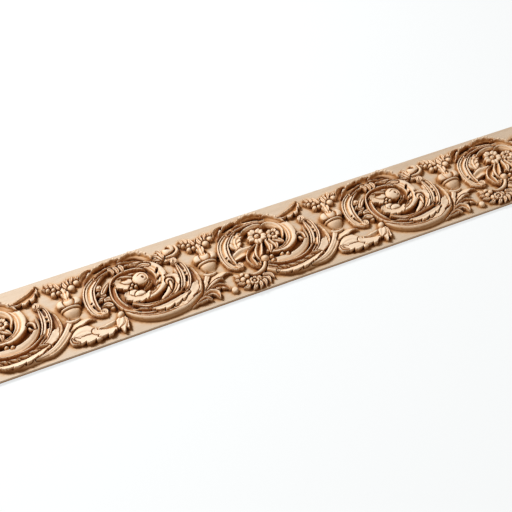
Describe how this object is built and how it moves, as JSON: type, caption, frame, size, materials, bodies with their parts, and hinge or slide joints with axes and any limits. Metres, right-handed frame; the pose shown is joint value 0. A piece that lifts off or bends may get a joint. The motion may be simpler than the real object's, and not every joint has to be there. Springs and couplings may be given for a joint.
{
  "type": "acanthus leaf moulding",
  "caption": "Long flat wooden moulding carved in relief with scrolling acanthus leaves, urns, buds and flowers, cut square at both ends to fix against a wall, frieze or furniture rail.",
  "frame": {"origin": "middle of the flat back, the face that is fixed to a wall or a rail", "axes": "+X along the moulding, +Y across it to the far edge, which the crests of the scrolls reach, +Z out of the carved face"},
  "size_m": [0.755, 0.12, 0.0145],
  "materials": {
    "wood": "bare, fine-sanded pale wood with browner hollows"
  },
  "bodies": {
    "root": {"acanthus_moulding": "wood"}
  },
  "joints": []
}
